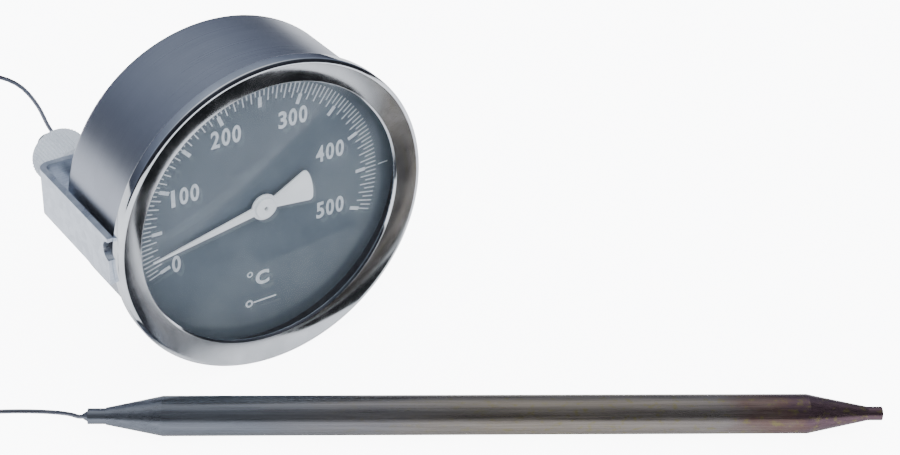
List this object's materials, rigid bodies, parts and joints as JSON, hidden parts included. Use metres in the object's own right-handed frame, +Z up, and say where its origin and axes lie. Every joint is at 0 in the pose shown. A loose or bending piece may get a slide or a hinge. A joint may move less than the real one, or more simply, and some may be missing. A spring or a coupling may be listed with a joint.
{
  "type": "capillary dial thermometer",
  "caption": "Panel dial thermometer with a sprung pointer movement, a clamping bracket held by thumb nuts, and a long bulb on a coiled steel capillary.",
  "frame": {"origin": "on the dial's axis, in the plane of the bezel's rear face, which is the face that seats on a panel", "axes": "+Y along the dial's axis from the reader into the panel, +X to the reader's right, +Z up, towards the middle of the scale"},
  "size_m": [0.1673, 0.1315, 0.0624],
  "materials": {
    "case_steel": "satin grey, lightly blued",
    "bezel_steel": "polished",
    "gasket_rubber": "matt",
    "window_glass": "clear",
    "spacer_enamel": "satin black",
    "dial_enamel": "matt slate grey with pale print",
    "pointer_enamel": "matt off-white",
    "movement_brass": "stamped and turned",
    "arbor_steel": "ground",
    "spring_bronze": "rolled",
    "tube_steel": "drawn",
    "zinc_plate": "bright zinc plated",
    "nut_alloy": "matt, finely knurled",
    "capillary_steel": "drawn",
    "bulb_steel": "drawn, heat tinted"
  },
  "bodies": {
    "gauge": {"case_shell": "case_steel", "bezel_ring": "bezel_steel", "glass_gasket": "gasket_rubber", "glass_pane": "window_glass", "spacer_ring": "spacer_enamel", "dial_plate": "dial_enamel", "front_plate": "movement_brass", "rear_plate": "movement_brass", "plate_pillars": "movement_brass", "rear_posts": "movement_brass", "plate_screws": "arbor_steel", "back_screws": "arbor_steel", "hairspring": "spring_bronze", "hairspring_peg": "arbor_steel", "bourdon_tube": "tube_steel", "socket_block": "tube_steel", "socket_screws": "arbor_steel", "tube_end_piece": "tube_steel", "bracket_studs": "zinc_plate", "capillary_gland": "capillary_steel", "capillary_inlet": "capillary_steel", "capillary_rise": "capillary_steel", "capillary_coil": "capillary_steel", "coil_tie": "arbor_steel", "capillary_lead": "capillary_steel", "bulb_solder": "bulb_steel", "bulb_collar": "bulb_steel", "bulb_body": "bulb_steel", "bulb_tip": "bulb_steel"},
    "pointer": {"pointer": "pointer_enamel", "pointer_hub": "pointer_enamel", "pinion_arbor": "arbor_steel", "hairspring_collet": "movement_brass"},
    "sector": {"sector_gear": "movement_brass", "sector_arbor": "arbor_steel"},
    "link": {"link_bar": "movement_brass", "link_rivets": "arbor_steel"},
    "bracket": {"mounting_bracket": "zinc_plate"},
    "left_nut": {"left_nut": "nut_alloy"},
    "right_nut": {"right_nut": "nut_alloy"}
  },
  "joints": [
    {"name": "sector_swing", "type": "hinge", "parent": "gauge", "child": "sector", "pos_m": [0.006, 0, -0.01039], "axis": [0, 1, 0], "range_deg": [-42.24, 1.76], "stiffness_Nm_per_rad": 0.008},
    {"name": "pointer_spin", "type": "hinge", "parent": "gauge", "child": "pointer", "pos_m": [0, 0, 0], "axis": [0, 1, 0], "range_deg": [-8.8, 211.2]},
    {"name": "link_swing", "type": "hinge", "parent": "sector", "child": "link", "pos_m": [0.00977, 0, -0.01367], "axis": [0, 1, 0], "range_deg": [-1.76, 42.24]},
    {"name": "bracket_slide", "type": "slide", "parent": "gauge", "child": "bracket", "axis": [0, 1, 0], "range_m": [0, 0.0042]},
    {"name": "left_nut_spin", "type": "hinge", "parent": "bracket", "child": "left_nut", "pos_m": [-0.0236, 0, 0], "axis": [0, 1, 0], "range_deg": [0, 2160]},
    {"name": "right_nut_spin", "type": "hinge", "parent": "bracket", "child": "right_nut", "pos_m": [0.0236, 0, 0], "axis": [0, 1, 0], "range_deg": [0, 2160]}
  ],
  "couplings": [
    {"joint": "pointer_spin", "follows": "sector_swing", "ratio": -5},
    {"joint": "link_swing", "follows": "sector_swing", "ratio": -1},
    {"joint": "left_nut_spin", "follows": "bracket_slide", "rad_per_m": 8975.9},
    {"joint": "right_nut_spin", "follows": "bracket_slide", "rad_per_m": 8975.9}
  ]
}
